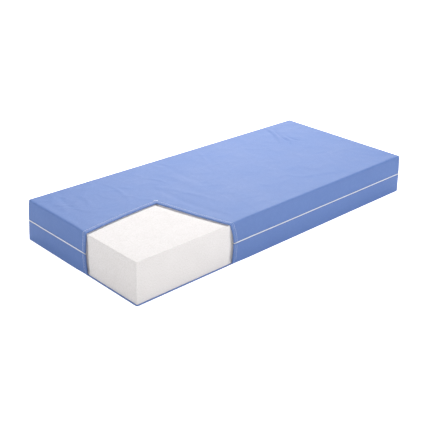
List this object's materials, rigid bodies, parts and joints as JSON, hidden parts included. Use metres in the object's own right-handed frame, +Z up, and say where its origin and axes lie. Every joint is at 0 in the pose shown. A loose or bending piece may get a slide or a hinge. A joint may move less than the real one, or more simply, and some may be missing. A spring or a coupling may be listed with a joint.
{
  "type": "pressure relief mattress",
  "caption": "Hospital mattress: an open-cell foam block in a zipped two-part wipe-clean cover, with a hemmed display window at one corner.",
  "frame": {"origin": "centre of the underside, on the surface the mattress lies on", "axes": "+X along the length to the head end, +Y across to the long side with the zip sliders, +Z up; the display window is at the -X, -Y corner"},
  "size_m": [2.0006, 0.8865, 0.2254],
  "materials": {
    "foam": "matte",
    "cover": "satin",
    "zip_tape": "matte",
    "zip_coil": "satin",
    "cover_thread": "satin",
    "pale_thread": "satin",
    "slider": "gloss",
    "pull": "gloss"
  },
  "bodies": {
    "mattress": {"foam_core": "foam", "upper_cover": "cover", "lower_cover": "cover", "window_hem_upper": "cover", "window_hem_lower": "cover", "zip_tape_upper": "zip_tape", "zip_tape_lower": "zip_tape", "zip_coil_upper": "zip_coil", "zip_coil_lower": "zip_coil", "zip_stitch_upper": "cover_thread", "zip_stitch_lower": "cover_thread", "window_stitch_upper_edge_row": "pale_thread", "window_stitch_upper_back_row": "pale_thread", "window_stitch_lower_edge_row": "pale_thread", "window_stitch_lower_back_row": "pale_thread", "corner_seam_upper": "cover_thread", "corner_seam_lower": "cover_thread"},
    "foot_slider": {"zip_slider_foot": "slider"},
    "foot_pull": {"zip_pull_foot": "pull"},
    "head_slider": {"zip_slider_head": "slider"},
    "head_pull": {"zip_pull_head": "pull"}
  },
  "joints": [
    {"name": "foot_slider_travel", "type": "slide", "parent": "mattress", "child": "foot_slider", "axis": [-1, 0, 0], "range_m": [0, 0.93]},
    {"name": "head_slider_travel", "type": "slide", "parent": "mattress", "child": "head_slider", "axis": [1, 0, 0], "range_m": [0, 0.93]},
    {"name": "foot_pull_swing", "type": "hinge", "parent": "foot_slider", "child": "foot_pull", "pos_m": [-0.012, 0.4435, 0.112], "axis": [0, 0, -1], "range_deg": [0, 110]},
    {"name": "head_pull_swing", "type": "hinge", "parent": "head_slider", "child": "head_pull", "pos_m": [0.012, 0.4435, 0.112], "axis": [0, 0, 1], "range_deg": [0, 110]}
  ]
}
